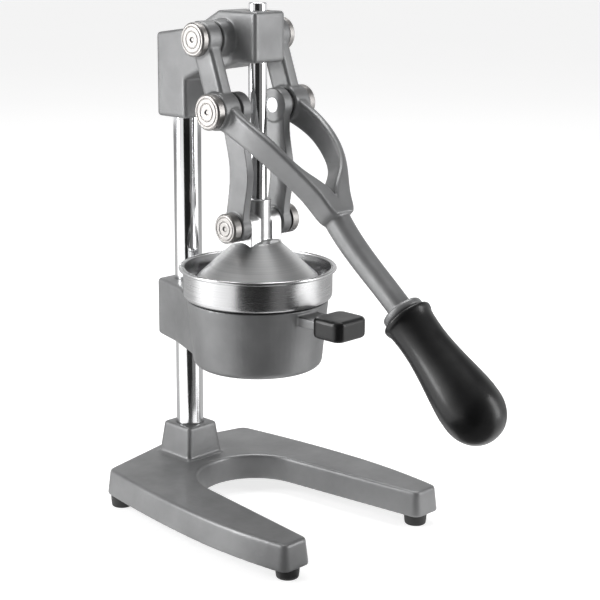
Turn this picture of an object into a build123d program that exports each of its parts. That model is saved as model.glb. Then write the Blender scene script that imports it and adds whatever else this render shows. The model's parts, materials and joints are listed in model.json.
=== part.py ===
from build123d import *
import math
import os

# Hand-lever citrus press. Millimetres, +Z up, the user stands on the -Y side, X = 0 is the mirror plane.
# Every piece is drawn with the guide rod's axis on x = y = 0 and the table at z = 0.
# What is written is moved along Y, so that the origin is under the middle of the whole press.

# ---- driving dimensions ---------------------------------------------------------------
# base casting
BASE_BOTTOM = 10.5
BASE_TOP = 32.0
BASE_DRAFT = 7.0
LEG_END_Y = -120.6
LEG_OUTER_X = 89.6
LEG_INNER_X = 65.0
BELLY = (94.7, -23.0)
BELLY_SLOPE = 0.054
REAR_CORNER = (80.1, 101.0)
REAR_POINT_Y = 119.8
ARCH_RADIUS = 49.0
ARCH_Y = 3.0
BASE_WALL = 6.0
BOSS_TOP = 60.2
FOOT_FRONT = (76.0, -110.0)
FOOT_REAR = (73.0, 92.0)
FOOT_RADIUS = 9.6

# column and its two clamps
COLUMN_Y = 85.3
COLUMN_RADIUS = 11.75
COLUMN_FOOT_Z = 27.0
COLUMN_LEDGE_Z = 20.5
COLUMN_TOP_Z = 392.0

# head casting, side view points are (y, z)
HEAD_HALF = 17.0
HEAD_FRONT_Y = -14.3
HEAD_REAR_Y = 104.6
HEAD_TOP_Z = 421.8
HEAD_BOTTOM_Z = 381.5
HEAD_CLAMP_BOTTOM_Z = 330.3
HEAD_BOSS_RADIUS = 14.6
HEAD_BOSS_END = 29.6
SET_SCREW_RADIUS = 4.0
HEAD_SCREW_Z = (346.0, 382.0)
BRACKET_SCREW_Z = (152.0, 178.0)
BUSH_RADIUS = 9.5

# pivots, (y, z): A lever in the head, B link on the lever, C link on the press bell
PIVOT_A = (21.4, 400.25)
PIVOT_B = (1.33, 345.05)
PIVOT_C = (0.0, 249.95)
PIN_RADIUS = 6.0
PIN_FIT = 0.05
PIN_A_END = 13.0
PIN_C_END = 11.5
HEAD_A_RADIUS = 13.6
HEAD_B_RADIUS = 14.3
HEAD_C_RADIUS = 12.25

# lever casting
HUB_IN = 30.9
HUB_OUT = 45.2
HUB_RADIUS = 14.6
CRANK_WIDTH = 21.5
CRANK_THICK = 12.5
LEVER_B_OUT = 47.8
COLLAR = (-156.4, 203.0)
COLLAR_RADIUS = 16.5
COLLAR_THICK = 7.0
GRIP_ANGLE = 42.0
GRIP_LENGTH = 117.0
STUD_RADIUS = 5.0

# links
LINK_IN = 18.0
LINK_OUT = 27.8
LINK_EYE_TOP = 14.0
LINK_EYE_BOTTOM = 12.2

# cup bracket and steel bowl
CUP_TOP_Z = 187.5
CUP_BOTTOM_Z = 131.5
CUP_RADIUS_TOP = 58.5
CUP_RADIUS_BOTTOM = 53.0
CUP_WALL = 5.0
CUP_OUTLET_RADIUS = 24.0
CLAMP_BOTTOM_Z = 140.0
CLAMP_TOP_Z = 190.0
RIM_Z = 213.4
RIM_RADIUS = 65.0
RIM_ROLL = 1.6
BOWL_RADIUS = 61.6
SHEET = 1.2
SPOUT_RADIUS = 13.0
SPOUT_BOTTOM_Z = 124.5
STRAINER_RADIUS = 54.0
STRAINER_FLANGE_Z = 191.0
STRAINER_TOP_Z = 218.0
SLOT_COUNT = 20
RIB_COUNT = 8
CUP_GRIP_HALF = 17.5
TANG_END_Y = -96.0
TANG_SCREW_Y = -88.0
TANG_Z = 179.7
TANG_WIDTH = 24.0
TANG_DEPTH = 8.0

# press bell and guide rod
BELL_RADIUS = 50.0
BELL_SHOULDER_Z = 206.0
BELL_LIP_Z = 198.0
BELL_WALL = 3.2
BELL_CONE_TOP = (17.6, 235.5)
BELL_ROOF = (13.0, 233.0)
NECK_RADIUS = 10.7
NECK_TOP_Z = 270.9
EAR_IN = 6.0
EAR_OUT = 17.3
EAR_RADIUS = 10.5
ROD_RADIUS = 7.5
ROD_BOTTOM_Z = 240.0
ROD_TOP_Z = 428.4
ROD_FIT = 0.05
LOCK_PIN = (0.0, 262.5)
LOCK_PIN_RADIUS = 2.0


# ---- helpers --------------------------------------------------------------------------
def side_sketch(*points):
    """A closed outline of (y, z) points, standing on the mirror plane."""
    return Plane.YZ * make_face(Polyline(*points, close=True))


def turned(*points):
    """A solid of revolution about Z from a closed outline of (radius, z) points."""
    return revolve(Plane.XZ * make_face(Polyline(*points, close=True)), Axis.Z)


def spun_sheet(wall, points, radii, side=Side.RIGHT):
    """A spun sheet shell about Z: an outline of (radius, z) points with rounded corners."""
    line = FilletPolyline(*points, radius=radii)
    skin = offset(line, amount=wall, side=side)
    return revolve(Plane.XZ * make_face(skin), Axis.Z)


def across(pivot, x_low, x_high, radius):
    """A cylinder along X through a (y, z) pivot."""
    plane = Plane(origin=(x_low, *pivot), x_dir=(0, 1, 0), z_dir=(1, 0, 0))
    return plane * extrude(Circle(radius), x_high - x_low)


def down_z(x, y, z_low, z_high, radius):
    """A cylinder along Z."""
    return Pos(x, y, z_low) * extrude(Circle(radius), z_high - z_low)


def along_y(x, z, y_low, y_high, radius):
    """A cylinder along Y."""
    plane = Plane(origin=(x, y_low, z), x_dir=(1, 0, 0), z_dir=(0, 1, 0))
    return plane * extrude(Circle(radius), y_high - y_low)


def other_side(part):
    return mirror(part, Plane.YZ)


def both_sides(part):
    return part + other_side(part)


def softened(part, radius, pick=lambda edges: edges):
    """Round the picked edges, or leave them sharp where the rounding does not fit."""
    edges = pick(part.edges())
    try:
        return fillet(edges, radius)
    except (ValueError, RuntimeError):
        return part


# ---- base -----------------------------------------------------------------------------
def base_outline():
    """Plan of the base at its top: two legs round an arch, a blunt point at the rear."""
    leg_angle = math.atan2(LEG_INNER_X, ARCH_Y - LEG_END_Y)
    reach = math.hypot(LEG_INNER_X, ARCH_Y - LEG_END_Y)
    turn = leg_angle + math.acos(ARCH_RADIUS / reach)
    arch_end = (ARCH_RADIUS * math.sin(turn), ARCH_Y - ARCH_RADIUS * math.cos(turn))
    corner = (LEG_OUTER_X, LEG_END_Y)
    right = [
        TangentArc(BELLY, REAR_CORNER, tangent=(-BELLY_SLOPE, 1)),
        TangentArc(BELLY, corner, tangent=(BELLY_SLOPE, -1)),
        Line(REAR_CORNER, (0, REAR_POINT_Y)),
        Line(corner, (LEG_INNER_X, LEG_END_Y)),
        Line((LEG_INNER_X, LEG_END_Y), arch_end),
    ]
    left = [mirror(edge, Plane.YZ) for edge in right]
    arch = ThreePointArc(arch_end, (0, ARCH_Y + ARCH_RADIUS), (-arch_end[0], arch_end[1]))
    face = make_face([*right, *left, arch])
    ends = [v for v in face.vertices() if abs(v.Y - LEG_END_Y) < 0.1]
    face = fillet(ends, 5.0)
    corners = [v for v in face.vertices() if abs(v.Y - REAR_CORNER[1]) < 0.1]
    face = fillet(corners, 9.0)
    point = [v for v in face.vertices() if abs(v.Y - REAR_POINT_Y) < 0.1]
    return fillet(point, 40.0)


def boss():
    """The tapered block round the column's foot."""
    low = Pos(0, COLUMN_Y, BASE_TOP - 1) * RectangleRounded(39.4, 40.8, 3.5)
    high = Pos(0, COLUMN_Y, BOSS_TOP) * RectangleRounded(32.6, 34.0, 3.5)
    block = softened(loft([low, high]), 2.0, lambda edges: edges.group_by(Axis.Z)[-1])
    lip = Pos(0, COLUMN_Y, BASE_TOP - 1) * extrude(RectangleRounded(42.4, 43.8, 4.5), 2.2)
    return block + softened(lip, 1.0, lambda edges: edges.group_by(Axis.Z)[-1])


def foot_places():
    return [(s * x, y) for x, y in (FOOT_FRONT, FOOT_REAR) for s in (-1, 1)]


def base_casting():
    plan = base_outline()
    plate = extrude(Pos(0, 0, BASE_TOP) * plan, BASE_TOP - BASE_BOTTOM, dir=(0, 0, -1), taper=-BASE_DRAFT)
    plate = softened(plate, 2.6, lambda edges: edges.group_by(Axis.Z)[-1])
    roof = BASE_TOP - BASE_WALL
    hollow = Pos(0, 0, BASE_BOTTOM - 1) * extrude(offset(plan, -BASE_WALL), roof - BASE_BOTTOM + 1)
    hollow -= down_z(0, COLUMN_Y, 0, BASE_TOP, 18.0)
    for x, y in foot_places():
        hollow -= down_z(x, y, 0, BASE_TOP, 8.0)
    body = plate - hollow + boss()
    body -= down_z(0, COLUMN_Y, COLUMN_FOOT_Z, BOSS_TOP + 1, COLUMN_RADIUS)
    body -= down_z(0, COLUMN_Y, 0, COLUMN_FOOT_Z + 1, 5.5)
    body -= down_z(0, COLUMN_Y, 0, COLUMN_LEDGE_Z, 12.5)
    for x, y in foot_places():
        body -= down_z(x, y, BASE_BOTTOM - 1, 24.0, 2.5)
    return body


def foot(x, y):
    """A rubber foot with a counterbored screw hole."""
    tall = BASE_BOTTOM
    body = turned((2.7, 3.6), (5.4, 3.6), (5.4, 0), (FOOT_RADIUS - 1.2, 0), (FOOT_RADIUS - 0.5, 0.7),
                  (FOOT_RADIUS, tall), (2.7, tall))
    return Pos(x, y, 0) * body


def foot_screw(x, y):
    """A pan-head screw up into the base."""
    body = down_z(0, 0, 3.6, 24.0, 2.5) + turned((0, 1.0), (3.2, 1.0), (4.7, 2.0), (4.7, 3.6), (0, 3.6))
    body -= Pos(0, 0, 1.4) * Box(5.5, 0.9, 1.6)
    body -= Pos(0, 0, 1.4) * Box(0.9, 5.5, 1.6)
    return Pos(x, y, 0) * body


def column_bolt():
    head_z = COLUMN_LEDGE_Z - 2.0 - 6.0
    head = Pos(0, COLUMN_Y, head_z) * extrude(RegularPolygon(9.2, 6), 6.0)
    return head + down_z(0, COLUMN_Y, head_z, COLUMN_FOOT_Z + 30, 5.0)


def column_washer():
    ring = down_z(0, COLUMN_Y, COLUMN_LEDGE_Z - 2.0, COLUMN_LEDGE_Z, 11.0)
    return ring - down_z(0, COLUMN_Y, 0, BASE_TOP, 5.3)


def column():
    """Round bar, tapped at its foot for the bolt."""
    bar = down_z(0, COLUMN_Y, COLUMN_FOOT_Z, COLUMN_TOP_Z, COLUMN_RADIUS)
    return bar - down_z(0, COLUMN_Y, COLUMN_FOOT_Z, COLUMN_FOOT_Z + 31, 5.0)


# ---- head -----------------------------------------------------------------------------
def head_casting():
    front, rear, top = HEAD_FRONT_Y, HEAD_REAR_Y, HEAD_TOP_Z
    outline = side_sketch(
        (front, HEAD_BOTTOM_Z), (front, top), (29, top), (48, 411.8), (70, 405.3), (rear, 400.5),
        (rear, HEAD_CLAMP_BOTTOM_Z), (68.5, HEAD_CLAMP_BOTTOM_Z),
        (68.5, 363.5), (51, 371), (26, 375), (7, 381),
    )
    beam = extrude(outline, HEAD_HALF, both=True)
    beam = softened(beam, 3.0)
    beam += both_sides(across(PIVOT_A, HEAD_HALF - 1, HEAD_BOSS_END, HEAD_BOSS_RADIUS))
    beam -= down_z(0, COLUMN_Y, 0, COLUMN_TOP_Z, COLUMN_RADIUS)
    beam -= down_z(0, 0, 0, 500, BUSH_RADIUS)
    for z in HEAD_SCREW_Z:
        beam -= along_y(0, z, COLUMN_Y, HEAD_REAR_Y + 5, SET_SCREW_RADIUS)
    return beam - both_sides(across(PIVOT_A, PIN_A_END, HEAD_BOSS_END + 1, PIN_RADIUS))


def set_screw(z, y_outer):
    """A headless screw against the column, with a hexagon socket."""
    length = y_outer - 1.5 - (COLUMN_Y + COLUMN_RADIUS)
    body = Cylinder(SET_SCREW_RADIUS, length, align=(Align.CENTER, Align.CENTER, Align.MIN))
    body -= Pos(0, 0, length - 3.0) * extrude(RegularPolygon(2.3, 6), 3.5)
    return Plane(origin=(0, COLUMN_Y + COLUMN_RADIUS, z), x_dir=(1, 0, 0), z_dir=(0, 1, 0)) * body


def rod_bush():
    wall = (BUSH_RADIUS, ROD_RADIUS + ROD_FIT)
    return turned((wall[1], HEAD_BOTTOM_Z + 0.6), (wall[0], HEAD_BOTTOM_Z + 0.6),
                  (wall[0], HEAD_TOP_Z - 0.6), (wall[1], HEAD_TOP_Z - 0.6))


# ---- pivot pins -----------------------------------------------------------------------
def pivot_pin(pivot, head_radius, head_in, head_thick, shank_end):
    """A turned pin whose broad head faces outwards, with two rings and a centre dimple in its face."""
    r, t = head_radius, head_thick
    face = [(1.2, t - 0.9), (1.9, t), (0.42 * r, t), (0.46 * r, t - 0.5), (0.52 * r, t), (0.70 * r, t),
            (0.74 * r, t - 0.5), (0.79 * r, t), (r - 1.1, t), (r, t - 1.1), (r, 0.5), (r - 0.5, 0)]
    length = head_in - shank_end
    body = turned((0, -length), (PIN_RADIUS, -length), (PIN_RADIUS, 0), *reversed(face), (0, t - 0.9))
    return Plane(origin=(head_in, *pivot), x_dir=(0, 1, 0), z_dir=(1, 0, 0)) * body


def washer(pivot, x_low, x_high, radius):
    return across(pivot, x_low, x_high, radius) - across(pivot, x_low - 1, x_high + 1, PIN_RADIUS + 0.1)


# ---- lever ----------------------------------------------------------------------------
def grip_place(along):
    """Plane square to the grip's axis, a given way out from the collar's middle."""
    angle = math.radians(GRIP_ANGLE)
    direction = (0, -math.cos(angle), -math.sin(angle))
    origin = (0, COLLAR[0] + along * direction[1], COLLAR[1] + along * direction[2])
    return Plane(origin=origin, x_dir=(1, 0, 0), z_dir=direction)


# right arm of the fork, from the B boss to the web where the arms meet: (x, y, z, thickness across, depth)
ARM = (
    (38.5, -3.0, 341.5, 13.0, 24.0),
    (38.7, -18.0, 333.6, 8.5, 21.0),
    (36.9, -36.0, 323.5, 7.8, 20.3),
    (32.0, -53.0, 311.0, 7.5, 20.0),
    (25.6, -64.0, 300.0, 7.8, 20.0),
    (17.2, -71.5, 290.5, 11.5, 20.3),
    (8.6, -79.5, 279.0, 16.5, 20.0),
    (4.0, -90.0, 266.0, 12.0, 19.2),
)
ARM_CORNER = 2.8
# shaft: (y, z, width, depth)
SHAFT = (
    (-82.0, 273.0, 20.0, 19.5),
    (-104.0, 247.6, 18.6, 19.2),
    (-130.0, 225.4, 18.0, 18.5),
    (-155.0, 204.5, 18.2, 18.2),
)
SHAFT_CORNER = 7.5


def path_sections(points, sizes, corner):
    """Rounded sections square to a smooth path through the points."""
    path = Spline(*points)
    sections = []
    for point, (width, depth) in zip(points, sizes):
        way = path.tangent_at(path.param_at_point(Vector(*point)))
        across_way = Vector(1, 0, 0) - way * way.X
        plane = Plane(origin=point, x_dir=across_way, z_dir=way)
        sections.append(plane * RectangleRounded(width, depth, corner))
    return sections


def lever_casting():
    arm = loft(path_sections([a[:3] for a in ARM], [a[3:] for a in ARM], ARM_CORNER))
    shaft = loft(path_sections([(0, s[0], s[1]) for s in SHAFT], [s[2:] for s in SHAFT], SHAFT_CORNER))
    (ay, az), (by, bz) = PIVOT_A, PIVOT_B
    middle = ((ay + by) / 2, (az + bz) / 2)
    tilt = math.degrees(math.atan2(by - ay, az - bz))
    crank_centre = (HUB_IN + HUB_OUT) / 2
    crank = Pos(crank_centre, *middle) * Rot(tilt, 0, 0)
    crank *= softened(Box(CRANK_THICK, CRANK_WIDTH, math.dist(PIVOT_A, PIVOT_B)), 3.0,
                      lambda edges: edges.filter_by(Axis.Z))
    right = arm + crank
    right += softened(across(PIVOT_A, HUB_IN, HUB_OUT, HUB_RADIUS), 1.2)
    right += softened(across(PIVOT_B, HUB_IN, LEVER_B_OUT, HUB_RADIUS + 0.6), 1.2)
    right -= across(PIVOT_A, HUB_IN - 1, HUB_OUT + 1, PIN_RADIUS + PIN_FIT)
    right -= across(PIVOT_B, HUB_IN - 1, LEVER_B_OUT + 1, PIN_RADIUS)
    collar = extrude(grip_place(-COLLAR_THICK / 2) * Circle(COLLAR_RADIUS), COLLAR_THICK)
    body = both_sides(right) + shaft + softened(collar, 2.5)
    return body - extrude(grip_place(-30) * Circle(STUD_RADIUS), 60)


def lever_stud():
    return extrude(grip_place(-29.5) * Circle(STUD_RADIUS), 29.5 + 80)


def lever_grip():
    """Pear-shaped handle with a flange at the collar end."""
    start = COLLAR_THICK / 2
    waist = [(19.6, start + 3.5), (18.2, 18.0), (17.7, 30.0)]
    pear = Spline(*waist, (20.3, 57.0), (24.2, 88.0), (0, GRIP_LENGTH), tangents=[(0, 1), (-1, 0)])
    flange = Spline((17.6, start), (20.0, start + 1.6), waist[0])
    face = Line((0, start), (17.6, start))
    profile = make_face([face, flange, pear, Line((0, GRIP_LENGTH), (0, start))])
    body = grip_place(0) * revolve(Plane.XZ * profile, Axis.Z)
    return body - extrude(grip_place(-1) * Circle(STUD_RADIUS), 82)


# ---- links ----------------------------------------------------------------------------
def link():
    """Right link: two eyes joined by a flat bar that bows towards the front."""
    (by, bz), (cy, cz) = PIVOT_B, PIVOT_C
    rear = Spline((by + 13.2, bz), (11.3, 325.0), (5.6, 299.0), (8.2, 267.0), (cy + 11.4, cz))
    front = Spline((cy - 11.4, cz), (-10.9, 261.0), (-15.5, 291.0), (-11.8, 316.0), (by - 13.2, bz))
    top = Line((by - 13.2, bz), (by + 13.2, bz))
    bottom = Line((cy + 11.4, cz), (cy - 11.4, cz))
    bar = Plane.YZ * make_face([rear, bottom, front, top])
    body = Pos(LINK_IN + 1.2, 0, 0) * extrude(bar, LINK_OUT - LINK_IN - 2.4)
    body = softened(body, 1.5, lambda edges: edges.filter_by(Axis.X, reverse=True))
    body += softened(across(PIVOT_B, LINK_IN, LINK_OUT, LINK_EYE_TOP), 1.0)
    body += softened(across(PIVOT_C, LINK_IN, LINK_OUT, LINK_EYE_BOTTOM), 1.0)
    body -= across(PIVOT_B, LINK_IN - 1, LINK_OUT + 1, PIN_RADIUS)
    return body - across(PIVOT_C, LINK_IN - 1, LINK_OUT + 1, PIN_RADIUS + PIN_FIT)


def link_bush():
    """Bearing bush pressed in the link's upper eye; it ends flush with both faces."""
    return across(PIVOT_B, LINK_IN, LINK_OUT, PIN_RADIUS)


# ---- cup bracket ----------------------------------------------------------------------
def clamp_plan():
    """Plan of the bracket's arm: a block round the column that flares to meet the cup."""
    shoulder = (28.5, 71.0)
    reach = math.hypot(*shoulder)
    turn = math.atan2(*shoulder) + math.acos(CUP_RADIUS_BOTTOM / reach)
    touch = (CUP_RADIUS_BOTTOM * math.sin(turn), CUP_RADIUS_BOTTOM * math.cos(turn))
    right = [(19.4, HEAD_REAR_Y - 0.6), shoulder, touch]
    left = [(-x, y) for x, y in reversed(right)]
    return make_face(Polyline(*right, *left, close=True))


def cup_bracket():
    wall = [(CUP_RADIUS_BOTTOM, CUP_BOTTOM_Z), (CUP_RADIUS_TOP, CUP_TOP_Z)]
    cup = turned((0, CUP_BOTTOM_Z), *wall, (0, CUP_TOP_Z))
    cup = softened(cup, 6.0, lambda edges: edges.group_by(Axis.Z)[0])
    arm = Pos(0, 0, CLAMP_BOTTOM_Z) * extrude(clamp_plan(), CLAMP_TOP_Z - CLAMP_BOTTOM_Z)
    arm = softened(arm, 3.0)
    arm -= down_z(0, 0, CUP_TOP_Z, CLAMP_TOP_Z + 1, CUP_RADIUS_TOP + 6.0)
    tang = Pos(0, (TANG_END_Y - 51.0) / 2, TANG_Z) * Box(TANG_WIDTH, -51.0 - TANG_END_Y, TANG_DEPTH)
    body = cup + arm + tang
    inner = CUP_RADIUS_TOP - CUP_WALL
    floor_z = CUP_BOTTOM_Z + 6.0
    body -= turned((0, floor_z), (inner - 4.0, floor_z), (inner, CUP_TOP_Z + 1), (0, CUP_TOP_Z + 1))
    body -= down_z(0, 0, 100, 150, CUP_OUTLET_RADIUS)
    body -= down_z(0, COLUMN_Y, 100, 200, COLUMN_RADIUS)
    body -= down_z(0, TANG_SCREW_Y, 150, TANG_Z, 2.0)
    for z in BRACKET_SCREW_Z:
        body -= along_y(0, z, COLUMN_Y, HEAD_REAR_Y + 5, SET_SCREW_RADIUS)
    return body


def cup_grip():
    """Black moulded tongue pushed over the cup's tang."""
    body = Pos(0, -91.5, TANG_Z) * Box(2 * CUP_GRIP_HALF, 31, 17)
    body = softened(body, 7.5, lambda edges: edges.filter_by(Axis.Z))
    body = softened(body, 3.6, lambda edges: edges.group_by(Axis.Z)[0] + edges.group_by(Axis.Z)[-1])
    slot_length = -70.0 - TANG_END_Y
    body -= Pos(0, TANG_END_Y + slot_length / 2, TANG_Z) * Box(TANG_WIDTH, slot_length, TANG_DEPTH)
    body -= down_z(0, TANG_SCREW_Y, 165, 173.4, 3.8)
    return body - down_z(0, TANG_SCREW_Y, 165, TANG_Z, 2.0)


def cup_grip_screw():
    shank = down_z(0, TANG_SCREW_Y, 172.0, TANG_Z - 0.5, 2.0)
    return shank + down_z(0, TANG_SCREW_Y, 172.0, 173.4, 3.6)


# ---- bowl and strainer ----------------------------------------------------------------
def juice_bowl():
    """Spun steel bowl: rolled rim, straight wall, shoulder on the cup, funnel floor and spout."""
    outline = [
        (BOWL_RADIUS, RIM_Z), (BOWL_RADIUS, 188.6), (52.6, 188.6), (48.4, 152.0),
        (SPOUT_RADIUS, 140.0), (SPOUT_RADIUS, SPOUT_BOTTOM_Z),
    ]
    skin = spun_sheet(SHEET, outline, [7.5, 1.6, 8.0, 5.0])
    rim = Pos(0, 0, RIM_Z) * Torus(RIM_RADIUS - RIM_ROLL, RIM_ROLL)
    neck = turned((BOWL_RADIUS - SHEET, RIM_Z - 1), (RIM_RADIUS - RIM_ROLL, RIM_Z - 0.6),
                  (RIM_RADIUS - RIM_ROLL, RIM_Z + 0.8), (BOWL_RADIUS - SHEET, RIM_Z))
    return skin + rim + neck


def strainer_cone():
    """Perforated dome that the half fruit is pressed on, its flange on the bowl's shoulder."""
    foot_z, top_z = STRAINER_FLANGE_Z, STRAINER_TOP_Z
    outline = [(STRAINER_RADIUS, foot_z), (45.0, foot_z), (29.0, top_z - 13.5), (12.0, top_z), (0, top_z)]
    skin = spun_sheet(SHEET, outline, [3.0, 16.0, 9.0], Side.LEFT)
    slots = []
    for ring, (radius, length) in enumerate(((38.0, 7.0), (25.0, 6.0))):
        for i in range(SLOT_COUNT):
            angle = 360.0 / SLOT_COUNT * (i + 0.5 * ring)
            place = Rot(0, 0, angle) * Pos(radius, 0, foot_z)
            slots.append(place * extrude(SlotOverall(length, 2.2), 40, both=True))
    skin -= slots
    ribs = [Rot(0, 0, 360.0 / RIB_COUNT * (i + 0.5)) * rib() for i in range(RIB_COUNT)]
    return skin + ribs


def rib():
    """One raised rib up the strainer's dome."""
    foot_z, top_z = STRAINER_FLANGE_Z, STRAINER_TOP_Z
    ridge = [(44.0, foot_z - 0.1), (29.5, top_z - 12.2), (9.5, top_z + 1.0)]
    root = [(6.0, top_z - 1.0), (28.0, top_z - 14.1), (41.0, foot_z)]
    return extrude(Plane.XZ * make_face(Polyline(*ridge, *root, close=True)), 0.8, both=True)


# ---- press bell -----------------------------------------------------------------------
def press_bell():
    """Cast aluminium bell: neck round the rod, shallow cone, short lip, two ears for the links."""
    bore = BELL_RADIUS - BELL_WALL
    corner_z = BELL_SHOULDER_Z - 1.2
    top_radius, top_z = BELL_CONE_TOP
    bell = turned(
        (0, BELL_ROOF[1]), BELL_ROOF, (bore, corner_z), (bore, BELL_LIP_Z), (BELL_RADIUS, BELL_LIP_Z),
        (BELL_RADIUS, BELL_SHOULDER_Z), (top_radius, top_z), (NECK_RADIUS, top_z + 2.0),
        (NECK_RADIUS, NECK_TOP_Z - 0.8), (NECK_RADIUS - 0.8, NECK_TOP_Z), (0, NECK_TOP_Z),
    )
    cy, cz = PIVOT_C
    foot_z = BELL_ROOF[1] - 10.0
    ear = Box(EAR_OUT - EAR_IN, 2 * EAR_RADIUS, cz - foot_z)
    ear = Pos((EAR_IN + EAR_OUT) / 2, cy, (cz + foot_z) / 2) * ear
    ear = ear + across(PIVOT_C, EAR_IN, EAR_OUT, EAR_RADIUS)
    inside = turned((0, BELL_LIP_Z), (bore, BELL_LIP_Z), (bore, corner_z), BELL_ROOF, (0, BELL_ROOF[1]))
    bell = bell + both_sides(ear - inside)
    bell -= down_z(0, 0, ROD_BOTTOM_Z, NECK_TOP_Z + 1, ROD_RADIUS)
    bell -= both_sides(across(PIVOT_C, PIN_C_END, EAR_OUT + 1, PIN_RADIUS))
    return bell - across(LOCK_PIN, -20, 20, LOCK_PIN_RADIUS)


def guide_rod():
    rod = down_z(0, 0, ROD_BOTTOM_Z, ROD_TOP_Z, ROD_RADIUS)
    rod = chamfer(rod.edges().group_by(Axis.Z)[-1], 1.3)
    return rod - across(LOCK_PIN, -20, 20, LOCK_PIN_RADIUS)


def rod_lock_pin():
    """Cross pin that holds the rod in the bell's neck."""
    return across(LOCK_PIN, -NECK_RADIUS, NECK_RADIUS, LOCK_PIN_RADIUS)


# ---- the assembly ---------------------------------------------------------------------
def all_parts():
    parts = {"base_casting": base_casting()}
    for name, place in zip(("front_left", "front_right", "rear_left", "rear_right"), foot_places()):
        parts[f"foot_{name}"] = foot(*place)
    parts["foot_screws"] = Compound([foot_screw(*place) for place in foot_places()])
    parts["column"] = column()
    parts["column_bolt"] = column_bolt()
    parts["column_washer"] = column_washer()
    parts["head_casting"] = head_casting()
    parts["head_set_screws"] = Compound([set_screw(z, HEAD_REAR_Y) for z in HEAD_SCREW_Z])
    parts["rod_bush"] = rod_bush()
    parts["cup_bracket"] = cup_bracket()
    parts["bracket_set_screws"] = Compound([set_screw(z, HEAD_REAR_Y - 0.6) for z in BRACKET_SCREW_Z])
    parts["cup_grip"] = cup_grip()
    parts["cup_grip_screw"] = cup_grip_screw()
    parts["juice_bowl"] = juice_bowl()
    parts["strainer_cone"] = strainer_cone()
    parts["press_bell"] = press_bell()
    parts["guide_rod"] = guide_rod()
    parts["rod_lock_pin"] = rod_lock_pin()
    parts["lever_casting"] = lever_casting()
    parts["lever_stud"] = lever_stud()
    parts["lever_grip"] = lever_grip()
    paired = {
        "pivot_pin_a": pivot_pin(PIVOT_A, HEAD_A_RADIUS, HUB_OUT + 0.4, 5.9, PIN_A_END),
        "pivot_pin_b": pivot_pin(PIVOT_B, HEAD_B_RADIUS, LEVER_B_OUT, 7.0, LINK_OUT + 0.5),
        "pivot_pin_c": pivot_pin(PIVOT_C, HEAD_C_RADIUS, 29.4, 7.9, PIN_C_END),
        "washer_a": washer(PIVOT_A, HEAD_BOSS_END, HEAD_BOSS_END + 1.0, 12.8),
        "washer_b": washer(PIVOT_B, HUB_IN - 2.6, HUB_IN, 12.4),
        "washer_c": washer(PIVOT_C, 28.1, 29.4, 10.5),
        "link": link(),
        "link_bush": link_bush(),
    }
    for name, part in paired.items():
        parts[f"{name}_right"] = part
        parts[f"{name}_left"] = other_side(part)
    return parts


def middle_y(parts):
    """Y of the middle of everything, in the frame that the pieces are drawn in."""
    boxes = [part.bounding_box() for part in parts.values()]
    return (min(box.min.Y for box in boxes) + max(box.max.Y for box in boxes)) / 2


def main():
    os.makedirs("parts", exist_ok=True)
    parts = all_parts()
    shift = -middle_y(parts)
    print(f"guide rod axis at y = {shift:.4f}")
    for name, part in parts.items():
        export_step(Pos(0, shift, 0) * part, f"parts/{name}.step")


main()
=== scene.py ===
import json
import math

import bmesh
import bpy
from mathutils import Matrix, Vector


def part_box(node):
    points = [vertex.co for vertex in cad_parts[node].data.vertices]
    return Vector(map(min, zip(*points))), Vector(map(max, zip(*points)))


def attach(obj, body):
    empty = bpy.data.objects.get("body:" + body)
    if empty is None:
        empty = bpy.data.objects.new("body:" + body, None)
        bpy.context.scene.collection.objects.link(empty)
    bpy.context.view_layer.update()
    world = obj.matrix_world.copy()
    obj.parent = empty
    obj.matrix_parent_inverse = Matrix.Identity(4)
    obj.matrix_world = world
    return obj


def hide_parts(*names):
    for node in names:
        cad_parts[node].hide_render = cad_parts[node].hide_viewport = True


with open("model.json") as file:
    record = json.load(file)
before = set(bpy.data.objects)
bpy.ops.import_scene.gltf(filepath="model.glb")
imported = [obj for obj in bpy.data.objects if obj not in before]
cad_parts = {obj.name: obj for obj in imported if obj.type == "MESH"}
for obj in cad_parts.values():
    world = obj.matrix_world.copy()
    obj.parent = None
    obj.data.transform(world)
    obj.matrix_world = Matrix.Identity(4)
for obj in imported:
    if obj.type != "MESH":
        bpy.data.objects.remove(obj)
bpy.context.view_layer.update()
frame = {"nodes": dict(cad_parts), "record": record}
NODES = frame["nodes"]
BODY_OF = {n: body for body, names in frame["record"]["behaviour"]["bodies"].items() for n in names}
SLOT_OF = {part["node"]: part["material_slot"] for part in frame["record"]["subparts"]}
MM = 0.001

# ---- places read from the frame -------------------------------------------------------


def middle(node):
    low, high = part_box(node)
    return (low + high) / 2


ROD = middle("guide_rod")
PIN_A, PIN_B, PIN_C = (middle(f"pivot_pin_{key}_right") for key in "abc")


# ---- node helpers ---------------------------------------------------------------------
def new_material(name):
    """An empty Principled material, with its node tree, shader and object coordinates."""
    material = bpy.data.materials.new(name)
    material.use_nodes = True
    tree = material.node_tree
    shader = tree.nodes["Principled BSDF"]
    place = tree.nodes.new("ShaderNodeTexCoord").outputs["Object"]
    return material, tree, shader, place


def mapped(tree, place, location=(0, 0, 0), scale=(1, 1, 1)):
    node = tree.nodes.new("ShaderNodeMapping")
    node.inputs["Location"].default_value = location
    node.inputs["Scale"].default_value = scale
    tree.links.new(place, node.inputs["Vector"])
    return node.outputs["Vector"]


def noise(tree, place, scale, detail=4.0, roughness=0.55):
    node = tree.nodes.new("ShaderNodeTexNoise")
    node.inputs["Scale"].default_value = scale
    node.inputs["Detail"].default_value = detail
    node.inputs["Roughness"].default_value = roughness
    tree.links.new(place, node.inputs["Vector"])
    return node.outputs["Fac"]


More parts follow.
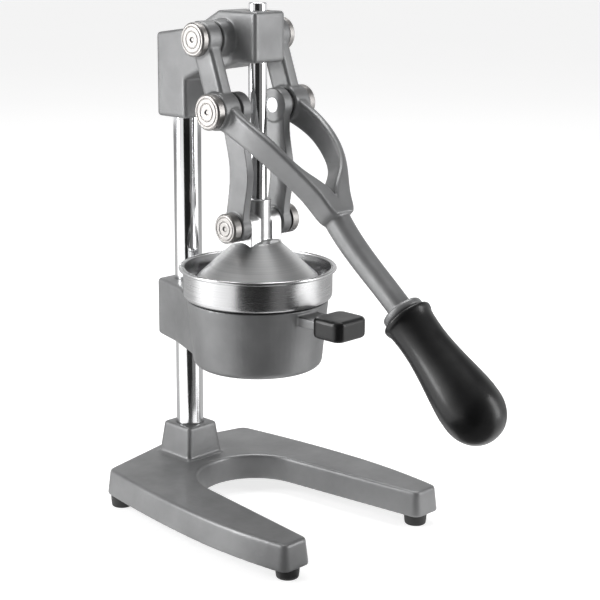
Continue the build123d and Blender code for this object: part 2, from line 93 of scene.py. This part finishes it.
def spread(tree, value, low, high, start=0.3, end=0.7):
    """Stretch a 0 to 1 value to the range low to high."""
    node = tree.nodes.new("ShaderNodeMapRange")
    node.inputs["From Min"].default_value = start
    node.inputs["From Max"].default_value = end
    node.inputs["To Min"].default_value = low
    node.inputs["To Max"].default_value = high
    tree.links.new(value, node.inputs["Value"])
    return node.outputs["Result"]


def shades(tree, value, dark, light, start=0.3, end=0.7):
    """A colour between dark and light, led by a value."""
    node = tree.nodes.new("ShaderNodeValToRGB")
    node.color_ramp.elements[0].position = start
    node.color_ramp.elements[0].color = (*dark, 1)
    node.color_ramp.elements[1].position = end
    node.color_ramp.elements[1].color = (*light, 1)
    tree.links.new(value, node.inputs["Fac"])
    return node.outputs["Color"]


def bumps(tree, shader, heights):
    """Chain bumps of (height value, strength, distance) into the shader's normal."""
    normal = None
    for height, strength, distance in heights:
        node = tree.nodes.new("ShaderNodeBump")
        node.inputs["Strength"].default_value = strength
        node.inputs["Distance"].default_value = distance
        tree.links.new(height, node.inputs["Height"])
        if normal:
            tree.links.new(normal, node.inputs["Normal"])
        normal = node.outputs["Normal"]
    tree.links.new(normal, shader.inputs["Normal"])


# ---- materials ------------------------------------------------------------------------
def paint_material():
    """Silver-grey enamel on a sand casting: a metallic sheen, faint orange peel, soft mottling."""
    material, tree, shader, place = new_material("grey_enamel")
    shader.inputs["Metallic"].default_value = 0.45
    shader.inputs["Specular IOR Level"].default_value = 0.5
    shader.inputs["Coat Weight"].default_value = 0.15
    shader.inputs["Coat Roughness"].default_value = 0.25
    mottle = noise(tree, place, 26.0, 4.0)
    colour = shades(tree, mottle, (0.160, 0.1615, 0.164), (0.212, 0.214, 0.216))
    tree.links.new(colour, shader.inputs["Base Color"])
    tree.links.new(spread(tree, noise(tree, place, 70.0), 0.36, 0.48), shader.inputs["Roughness"])
    peel = noise(tree, place, 900.0, 2.0)
    cast = noise(tree, place, 170.0, 3.0)
    bumps(tree, shader, [(cast, 0.22, 0.0006), (peel, 0.16, 0.00025)])
    return material


def chrome_material():
    material, tree, shader, place = new_material("chrome_plate")
    shader.inputs["Metallic"].default_value = 1.0
    haze = noise(tree, place, 45.0, 3.0)
    tree.links.new(shades(tree, haze, (0.74, 0.745, 0.755), (0.82, 0.82, 0.825)), shader.inputs["Base Color"])
    tree.links.new(spread(tree, haze, 0.07, 0.13), shader.inputs["Roughness"])
    bumps(tree, shader, [(noise(tree, place, 300.0, 2.0), 0.03, 0.0001)])
    return material


def turned_face_material(name, pivot):
    """Chrome pin whose end is turned: fine rings about the pin's own axis."""
    material, tree, shader, place = new_material(name)
    shader.inputs["Metallic"].default_value = 1.0
    from_axis = mapped(tree, place, (0, -pivot.y, -pivot.z), (0, 1, 1))
    distance = tree.nodes.new("ShaderNodeVectorMath")
    distance.operation = "LENGTH"
    tree.links.new(from_axis, distance.inputs[0])
    rings = tree.nodes.new("ShaderNodeCombineXYZ")
    tree.links.new(distance.outputs["Value"], rings.inputs["X"])
    ring = noise(tree, rings.outputs["Vector"], 1900.0, 3.0, 0.7)
    tree.links.new(shades(tree, ring, (0.27, 0.26, 0.255), (0.44, 0.425, 0.41)), shader.inputs["Base Color"])
    tree.links.new(spread(tree, ring, 0.34, 0.46), shader.inputs["Roughness"])
    bumps(tree, shader, [(ring, 0.20, 0.00012)])
    return material


def spun_material(name, dark, light, rough, lines):
    """Spun or brushed metal: fine lines that run round the vertical axis."""
    material, tree, shader, place = new_material(name)
    shader.inputs["Metallic"].default_value = 1.0
    shader.inputs["Anisotropic"].default_value = 0.35
    streak = noise(tree, mapped(tree, place, scale=(6, 6, lines)), 1.0, 6.0, 0.7)
    cloud = noise(tree, place, 18.0, 2.0)
    tree.links.new(shades(tree, streak, dark, light, 0.25, 0.75), shader.inputs["Base Color"])
    mixed = tree.nodes.new("ShaderNodeMath")
    mixed.operation = "MULTIPLY_ADD"
    mixed.inputs[1].default_value = 0.6
    tree.links.new(streak, mixed.inputs[0])
    tree.links.new(cloud, mixed.inputs[2])
    tree.links.new(spread(tree, mixed.outputs[0], *rough, 0.5, 1.1), shader.inputs["Roughness"])
    bumps(tree, shader, [(streak, 0.10, 0.00012)])
    return material


def grip_material():
    """Black moulded handle: even gloss with slight flow marks."""
    material, tree, shader, place = new_material("black_grip")
    flow = noise(tree, place, 30.0, 4.0)
    colour = shades(tree, flow, (0.0035, 0.0035, 0.0038), (0.007, 0.007, 0.0074))
    tree.links.new(colour, shader.inputs["Base Color"])
    tree.links.new(spread(tree, noise(tree, place, 75.0), 0.30, 0.42), shader.inputs["Roughness"])
    shader.inputs["Specular IOR Level"].default_value = 0.35
    shader.inputs["Coat Weight"].default_value = 0.12
    shader.inputs["Coat Roughness"].default_value = 0.15
    bumps(tree, shader, [(noise(tree, place, 1400.0, 2.0), 0.10, 0.00015), (flow, 0.08, 0.0008)])
    return material


def rubber_material(name, tone, rough):
    material, tree, shader, place = new_material(name)
    dust = noise(tree, place, 120.0, 5.0)
    dark = (tone, tone, tone)
    light = (tone * 2.0, tone * 2.0, tone * 2.0)
    tree.links.new(shades(tree, dust, dark, light), shader.inputs["Base Color"])
    tree.links.new(spread(tree, dust, rough - 0.08, rough + 0.08), shader.inputs["Roughness"])
    bumps(tree, shader, [(noise(tree, place, 2600.0, 2.0), 0.25, 0.0002)])
    return material


def zinc_material():
    material, tree, shader, place = new_material("zinc_plate")
    shader.inputs["Metallic"].default_value = 1.0
    spangle = noise(tree, place, 500.0, 3.0)
    tree.links.new(shades(tree, spangle, (0.44, 0.45, 0.47), (0.62, 0.62, 0.62)), shader.inputs["Base Color"])
    tree.links.new(spread(tree, spangle, 0.28, 0.42), shader.inputs["Roughness"])
    return material


def bronze_material():
    material, tree, shader, place = new_material("sintered_bronze")
    shader.inputs["Metallic"].default_value = 1.0
    grain = noise(tree, place, 2200.0, 3.0)
    tree.links.new(shades(tree, grain, (0.36, 0.24, 0.10), (0.52, 0.37, 0.18)), shader.inputs["Base Color"])
    tree.links.new(spread(tree, grain, 0.35, 0.55), shader.inputs["Roughness"])
    return material


SLOT_MATERIAL = {
    "casting_paint": paint_material(),
    "chrome": chrome_material(),
    "bowl_steel": spun_material("brushed_stainless", (0.50, 0.50, 0.51), (0.66, 0.66, 0.66),
                                rough=(0.20, 0.32), lines=2600.0),
    "bell_aluminium": spun_material("spun_aluminium", (0.62, 0.625, 0.63), (0.80, 0.80, 0.80),
                                    rough=(0.24, 0.36), lines=1500.0),
    "grip_black": grip_material(),
    "foot_rubber": rubber_material("black_rubber", 0.012, 0.62),
    "zinc": zinc_material(),
    "washer_nylon": rubber_material("black_nylon", 0.010, 0.45),
    "bush_bronze": bronze_material(),
}
PIN_MATERIAL = {
    "a": turned_face_material("turned_chrome_a", PIN_A),
    "b": turned_face_material("turned_chrome_b", PIN_B),
    "c": turned_face_material("turned_chrome_c", PIN_C),
}


# ---- mesh helpers ---------------------------------------------------------------------
def publish(name, mesh, node, material=None):
    """Show a mesh in place of a CAD node, on that node's body and in its material slot."""
    for polygon in mesh.polygons:
        polygon.use_smooth = True
    piece = bpy.data.objects.new(name, mesh)
    bpy.context.scene.collection.objects.link(piece)
    mesh.materials.clear()
    mesh.materials.append(material or SLOT_MATERIAL[SLOT_OF[node]])
    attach(piece, BODY_OF[node])
    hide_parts(node)
    return piece


def closed_copy(node):
    """A copy of a CAD node's mesh with its split corners joined."""
    mesh = NODES[node].data.copy()
    work = bmesh.new()
    work.from_mesh(mesh)
    bmesh.ops.remove_doubles(work, verts=work.verts, dist=1e-6)
    work.to_mesh(mesh)
    work.free()
    return mesh


def cast(node, voxel, rounds, keep=1.0):
    """A casting: the CAD shape with every corner and crease melted into small rounds."""
    rough = bpy.data.objects.new("rough", closed_copy(node))
    bpy.context.scene.collection.objects.link(rough)
    remesh = rough.modifiers.new("voxels", "REMESH")
    remesh.mode = "VOXEL"
    remesh.voxel_size = voxel
    melt = rough.modifiers.new("melt", "SMOOTH")
    melt.factor = 0.5
    melt.iterations = rounds
    if keep < 1.0:
        thin = rough.modifiers.new("thin", "DECIMATE")
        thin.ratio = keep
    evaluated = rough.evaluated_get(bpy.context.evaluated_depsgraph_get())
    mesh = bpy.data.meshes.new_from_object(evaluated)
    bpy.data.objects.remove(rough)
    return publish(f"{node}_cast", mesh, node)


def lathe_mesh(name, outline, origin, axis, segments=96):
    """A turned mesh: an outline of (along, radius) points spun about an axis from an origin. A closed outline
    makes a ring; an open one ends on the axis."""
    work = bmesh.new()
    turn = Vector((0, 0, 1)).rotation_difference(Vector(axis)).to_matrix().to_4x4()
    place = Matrix.Translation(origin) @ turn
    rows = []
    for along, radius in outline:
        if radius < 1e-7:
            rows.append([work.verts.new(place @ Vector((0, 0, along)))])
            continue
        ring = []
        for i in range(segments):
            angle = math.tau * i / segments
            point = Vector((radius * math.cos(angle), radius * math.sin(angle), along))
            ring.append(work.verts.new(place @ point))
        rows.append(ring)
    pairs = list(zip(rows, rows[1:]))
    if len(rows[0]) > 1 and len(rows[-1]) > 1:
        pairs.append((rows[-1], rows[0]))
    for low, high in pairs:
        for i in range(segments):
            j = (i + 1) % segments
            corners = [low[i % len(low)], low[j % len(low)], high[j % len(high)], high[i % len(high)]]
            face = list(dict.fromkeys(corners))
            if len(face) > 2:
                work.faces.new(face)
    bmesh.ops.recalc_face_normals(work, faces=work.faces)
    mesh = bpy.data.meshes.new(name)
    work.to_mesh(mesh)
    work.free()
    return mesh


def rounded(outline, radius, steps=5, closed=False):
    """Round an outline's corners with small arcs. radius is one value, or one per corner."""
    points = [Vector(p) for p in outline]
    radii = radius if isinstance(radius, (list, tuple)) else [radius] * len(points)
    result = []
    last = len(points) - 1
    for i, point in enumerate(points):
        if (i in (0, last) and not closed) or radii[i] <= 0:
            result.append(tuple(point))
            continue
        before = (points[i - 1] - point)
        after = (points[(i + 1) % len(points)] - point)
        reach = min(radii[i], before.length * 0.49, after.length * 0.49)
        start = point + before.normalized() * reach
        end = point + after.normalized() * reach
        for k in range(steps + 1):
            t = k / steps
            result.append(tuple(start * (1 - t) ** 2 + point * 2 * t * (1 - t) + end * t ** 2))
    return result


def lathe(node, outline, origin, axis, material=None, segments=96):
    """Show a turned piece in place of a CAD node. The outline is in millimetres."""
    metres = [(along * MM, radius * MM) for along, radius in outline]
    piece = publish(f"{node}_turned", lathe_mesh(node, metres, origin, axis, segments), node, material)
    piece.data.set_sharp_from_angle(angle=math.radians(34))
    piece.modifiers.new("normals", "WEIGHTED_NORMAL").keep_sharp = True
    return piece


# ---- castings -------------------------------------------------------------------------
cast("base_casting", 0.85 * MM, 9)
cast("head_casting", 0.75 * MM, 7)
cast("cup_bracket", 0.8 * MM, 7)
cast("lever_casting", 0.7 * MM, 12)
for side in ("left", "right"):
    cast(f"link_{side}", 0.5 * MM, 6)
cast("press_bell", 0.55 * MM, 4)
cast("cup_grip", 0.5 * MM, 6)


# ---- round bars, feet, handle ---------------------------------------------------------
def bar(node, edge):
    """A round bar standing on Z with its ends' edges broken."""
    low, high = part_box(node)
    radius = (high.x - low.x) / 2 / MM
    length = (high.z - low.z) / MM
    outline = rounded([(0, 0), (0, radius), (length, radius), (length, 0)], edge, 4)
    origin = ((low.x + high.x) / 2, (low.y + high.y) / 2, low.z)
    return lathe(node, outline, origin, (0, 0, 1), segments=128)


bar("column", 0.8)
bar("guide_rod", 1.5)


def foot(node):
    """A rubber foot, slightly barrelled, with the recess for its screw."""
    low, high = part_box(node)
    radius = (high.x - low.x) / 2 / MM
    tall = (high.z - low.z) / MM
    outline = rounded([(3.6, 2.7), (3.6, 5.4), (0, 5.4), (0, radius - 0.9), (tall * 0.45, radius - 0.2),
                       (tall, radius), (tall, 2.7)], [0, 0.3, 0.5, 1.2, 3.0, 0.6, 0], 5)
    origin = ((low.x + high.x) / 2, (low.y + high.y) / 2, low.z)
    return lathe(node, outline, origin, (0, 0, 1), segments=64)


for name in ("front_left", "front_right", "rear_left", "rear_right"):
    foot(f"foot_{name}")

GRIP_ANGLE = math.radians(42.0)
GRIP_AXIS = Vector((0, -math.cos(GRIP_ANGLE), -math.sin(GRIP_ANGLE)))
STUD_MIDDLE = 25.25
GRIP_START = middle("lever_stud") - GRIP_AXIS * STUD_MIDDLE * MM


def handle():
    """The pear-shaped handle: a ferrule-like flange, a waist, a full belly and a round end."""
    flange = [(3.5, 5.0), (3.5, 17.8), (4.6, 20.0), (7.4, 19.9), (10.5, 18.6)]
    flange = rounded(flange, [0, 1.5, 1.5, 1.5, 0], 5)
    waist = [(14, 18.1), (20, 17.8), (28, 17.7), (36, 18.1), (44, 18.9), (52, 19.9), (60, 21.1), (68, 22.3),
             (76, 23.4), (83, 24.05), (90, 24.1)]
    end_start, end, belly = 90.0, 117.0, 24.1
    dome = []
    for k in range(1, 15):
        turn = math.pi / 2 * k / 14
        radius = belly * math.cos(turn) ** 0.92 if k < 14 else 0
        dome.append((end_start + (end - end_start) * math.sin(turn), radius))
    inside = [(60.0, 0.0), (60.0, 5.0)]
    return lathe("lever_grip", [*inside, *flange, *waist, *dome], GRIP_START, GRIP_AXIS, segments=128)


handle()


# ---- pivot pins and washers -----------------------------------------------------------
HEAD_THICKNESS = {"a": 5.9, "b": 7.0, "c": 7.9}
SHANK_RADIUS = 6.0


def pin(key, side, thick):
    """A turned pin: shank, broad head, two ring grooves and a centre dimple in the face."""
    node = f"pivot_pin_{key}_{side}"
    low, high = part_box(node)
    length = (high.x - low.x) / MM
    radius = (high.z - low.z) / 2 / MM
    back = length - thick
    face = [(length - 1.3, radius), (length, radius - 1.3),
            (length, 0.80 * radius), (length - 0.55, 0.765 * radius), (length, 0.73 * radius),
            (length, 0.53 * radius), (length - 0.55, 0.49 * radius), (length, 0.45 * radius),
            (length, 2.3), (length - 1.1, 1.3), (length - 1.1, 0)]
    corners = [0.5, 0.5] + [0.25] * (len(face) - 2)
    shank = [(0, 0), (0, SHANK_RADIUS), (back, SHANK_RADIUS), (back, radius)]
    outline = rounded([*shank, *face], [0, 0.3, 0, 0.4, *corners[:-1], 0], 4)
    start = low.x if side == "right" else high.x
    axis = (1, 0, 0) if side == "right" else (-1, 0, 0)
    origin = (start, (low.y + high.y) / 2, (low.z + high.z) / 2)
    return lathe(node, outline, origin, axis, PIN_MATERIAL[key])


def washer(key, side):
    node = f"washer_{key}_{side}"
    low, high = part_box(node)
    radius = (high.z - low.z) / 2 / MM
    thick = (high.x - low.x) / MM
    outline = rounded([(0, 6.1), (0, radius), (thick, radius), (thick, 6.1)], 0.2, 3, closed=True)
    origin = (low.x, (low.y + high.y) / 2, (low.z + high.z) / 2)
    return lathe(node, outline, origin, (1, 0, 0))


for side in ("left", "right"):
    for key, thick in HEAD_THICKNESS.items():
        pin(key, side, thick)
        washer(key, side)


# ---- bowl -----------------------------------------------------------------------------
def bowl():
    """Spun bowl: rolled rim, straight wall, rounded shoulder, tapered well, funnel floor and spout."""
    low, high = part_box("juice_bowl")
    base = low.z / MM
    inner = [(214.2, 60.5), (189.8, 60.4), (189.8, 51.5), (152.9, 47.2), (141.0, 11.8), (124.6, 11.8)]
    outer = [(124.6, 13.0), (139.8, 13.0), (151.7, 48.4), (188.6, 52.6), (188.6, 61.6), (211.9, 61.6)]
    roll_z, roll_radius, roll = 213.4, 63.4, 1.6
    rim = []
    for k in range(13):
        turn = math.radians(-110 + 24 * k)
        rim.append((roll_z + roll * math.sin(turn), roll_radius + roll * math.cos(turn)))
    corners = [0, 6.3, 1.4, 6.8, 6.0, 0.2, 0.2, 6.0, 6.8, 1.4, 7.5, 0.6]
    outline = rounded([*inner, *outer, rim[0]], [*corners, 0], 8)[:-1] + rim
    outline = [(z - base, radius) for z, radius in outline]
    return lathe("juice_bowl", outline, (ROD.x, ROD.y, low.z), (0, 0, 1), segments=192)


bowl()

# ---- the CAD pieces that stay ---------------------------------------------------------
for name, node in NODES.items():
    node.data.materials.clear()
    node.data.materials.append(SLOT_MATERIAL[SLOT_OF[name]])


# ---- stage, light, camera -------------------------------------------------------------
CAMERA_YAW = math.radians(-44.51)
CAMERA_PITCH = math.radians(11.98)
CAMERA_OFFSET = Vector((-0.8513, -0.8698, 0.4922))
FOCAL_IN_WIDTHS = 2.531
SENSOR = 36.0
TO_RIGHT = Vector((math.cos(CAMERA_YAW), math.sin(CAMERA_YAW), 0))
TO_FRONT = Vector((math.sin(CAMERA_YAW), -math.cos(CAMERA_YAW), 0))


def floor():
    """A pale tabletop that glows, so that it stays even and near white to its far edge."""
    bpy.ops.mesh.primitive_circle_add(vertices=96, radius=30.0, fill_type="NGON")
    ground = bpy.context.object
    ground.name = "floor"
    material, tree, shader, place = new_material("pale_floor")
    tree.links.new(shades(tree, noise(tree, place, 2.0), (0.50, 0.50, 0.50), (0.52, 0.52, 0.52)),
                   shader.inputs["Base Color"])
    shader.inputs["Roughness"].default_value = 0.9
    shader.inputs["Specular IOR Level"].default_value = 0.1
    shader.inputs["Emission Color"].default_value = (1, 1, 1, 1)
    shader.inputs["Emission Strength"].default_value = 0.74
    ground.data.materials.append(material)


def softbox(name, at, size, power, target):
    light = bpy.data.lights.new(name, "AREA")
    light.shape = "RECTANGLE"
    light.size, light.size_y = size
    light.energy = power
    lamp = bpy.data.objects.new(name, light)
    lamp.location = at
    lamp.rotation_euler = (Vector(target) - Vector(at)).to_track_quat("-Z", "Y").to_euler()
    bpy.context.scene.collection.objects.link(lamp)


def studio():
    """Surroundings bright along the horizon, dim overhead and dark on the front side, which give the metal
    its upright dark and bright bands."""
    world = bpy.data.worlds.new("studio")
    bpy.context.scene.world = world
    world.use_nodes = True
    tree = world.node_tree
    background = tree.nodes["Background"]
    ray = tree.nodes.new("ShaderNodeTexCoord").outputs["Generated"]
    split = tree.nodes.new("ShaderNodeSeparateXYZ")
    tree.links.new(ray, split.inputs[0])
    ramp = tree.nodes.new("ShaderNodeValToRGB")
    tree.links.new(split.outputs["Z"], ramp.inputs["Fac"])
    stops = [(0.0, 0.85), (0.30, 0.75), (0.55, 0.22), (0.80, 0.16), (1.0, 0.40)]
    elements = ramp.color_ramp.elements
    elements[0].position, elements[0].color = stops[0][0], (stops[0][1],) * 3 + (1,)
    elements[1].position, elements[1].color = stops[-1][0], (stops[-1][1],) * 3 + (1,)
    for position, value in stops[1:-1]:
        elements.new(position).color = (value, value, value, 1)
    facing = tree.nodes.new("ShaderNodeVectorMath")
    facing.operation = "DOT_PRODUCT"
    facing.inputs[1].default_value = TO_FRONT
    tree.links.new(ray, facing.inputs[0])
    shade = spread(tree, facing.outputs["Value"], 1.0, 0.10, 0.45, 0.88)
    tree.links.new(ramp.outputs["Color"], background.inputs["Color"])
    tree.links.new(shade, background.inputs["Strength"])


def card(name, start, end, tone, reach=(0.14, 2.4), height=0.8):
    """A mat and an upright card in one, seen only in reflections: it gives metal its upright grey bands. The
    angles are in degrees about the guide rod, from the front towards the right."""
    work = bmesh.new()
    steps = 12
    rows = []
    for i in range(steps + 1):
        turn = math.radians(start + (end - start) * i / steps)
        way = TO_FRONT * math.cos(turn) + TO_RIGHT * math.sin(turn)
        foot = Vector((ROD.x, ROD.y, 0.002))
        rows.append([work.verts.new(foot + way * reach[0]), work.verts.new(foot + way * reach[1]),
                     work.verts.new(foot + way * reach[1] + Vector((0, 0, height)))])
    for here, there in zip(rows, rows[1:]):
        for k in (0, 1):
            work.faces.new((here[k], here[k + 1], there[k + 1], there[k]))
    mesh = bpy.data.meshes.new(name)
    work.to_mesh(mesh)
    work.free()
    material, tree, shader, place = new_material(name)
    tree.links.new(shades(tree, noise(tree, place, 3.0), (tone, tone, tone), (tone * 1.1,) * 3),
                   shader.inputs["Base Color"])
    shader.inputs["Roughness"].default_value = 1.0
    shader.inputs["Specular IOR Level"].default_value = 0.0
    mesh.materials.append(material)
    piece = bpy.data.objects.new(name, mesh)
    bpy.context.scene.collection.objects.link(piece)
    piece.visible_camera = False
    piece.visible_diffuse = False
    piece.visible_shadow = False


floor()
studio()
card("front_card", -32, 21, 0.02)
card("right_card", 21, 58, 0.20)
card("rear_card", 100, 255, 0.42, height=0.02)
CENTRE = Vector((ROD.x, ROD.y, 0.22))
softbox("right", CENTRE + TO_RIGHT * 1.5 + TO_FRONT * 0.35 + Vector((0, 0, 0.35)), (0.45, 1.5), 14.0, CENTRE)
softbox("left", CENTRE - TO_RIGHT * 1.5 + TO_FRONT * 0.25 + Vector((0, 0, 0.5)), (0.4, 1.6), 23.0, CENTRE)
softbox("top", CENTRE - TO_FRONT * 0.7 + Vector((0, 0, 1.9)), (1.4, 1.0), 34.0, CENTRE)
bpy.context.scene.view_settings.view_transform = "Standard"

camera = bpy.data.cameras.new("camera")
camera.sensor_width = SENSOR
camera.lens = FOCAL_IN_WIDTHS * SENSOR
camera.shift_x = 0.0650
camera.shift_y = -0.0965
viewer = bpy.data.objects.new("camera", camera)
viewer.location = Vector((ROD.x, ROD.y, 0)) + CAMERA_OFFSET
viewer.rotation_euler = (math.pi / 2 - CAMERA_PITCH, 0, CAMERA_YAW)
bpy.context.scene.collection.objects.link(viewer)
bpy.context.scene.camera = viewer
